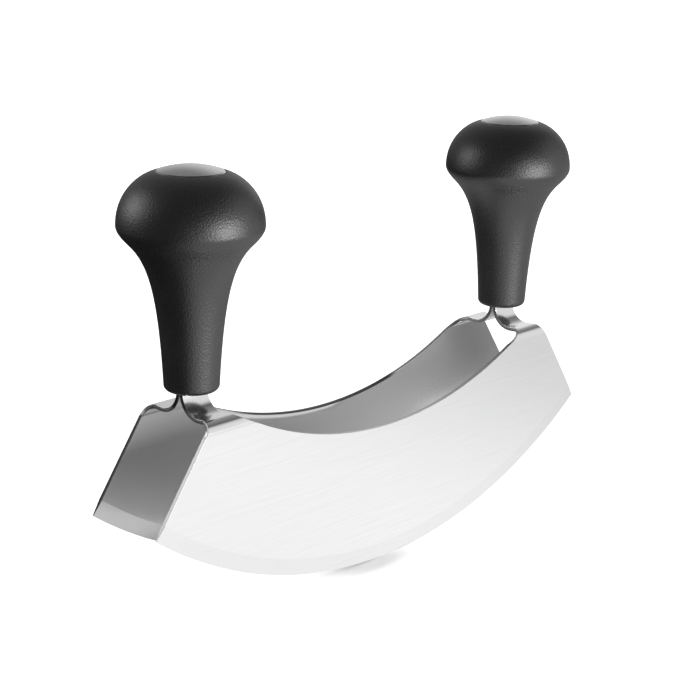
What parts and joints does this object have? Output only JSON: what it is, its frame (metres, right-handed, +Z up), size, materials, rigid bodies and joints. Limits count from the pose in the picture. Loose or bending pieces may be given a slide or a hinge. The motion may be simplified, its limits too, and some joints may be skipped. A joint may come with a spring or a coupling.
{
  "type": "mezzaluna",
  "caption": "Rocking herb chopper with parallel curved steel blades on folded tangs and upright black knob handles with steel caps.",
  "frame": {"origin": "the point on the board under the middle of the tool, midway between the two blades, where it stands on its cutting edges", "axes": "+X along the blades from the left handle to the right, +Y from the front blade to the rear blade, +Z up through the handles"},
  "size_m": [0.23, 0.0492, 0.156],
  "materials": {
    "blade_steel": "fine brushed stainless steel",
    "grip_plastic": "fine-grained matt black",
    "cap_steel": "satin stainless steel with a bright rim",
    "fastener_steel": "plain stainless steel"
  },
  "bodies": {
    "root": {"front_blade": "blade_steel", "rear_blade": "blade_steel", "left_grip": "grip_plastic", "right_grip": "grip_plastic", "left_cap": "cap_steel", "right_cap": "cap_steel", "left_tie_rod": "fastener_steel", "right_tie_rod": "fastener_steel", "left_washer": "fastener_steel", "right_washer": "fastener_steel", "left_nut": "fastener_steel", "right_nut": "fastener_steel", "left_lower_rivet": "fastener_steel", "left_upper_rivet": "fastener_steel", "right_lower_rivet": "fastener_steel", "right_upper_rivet": "fastener_steel"}
  },
  "joints": []
}
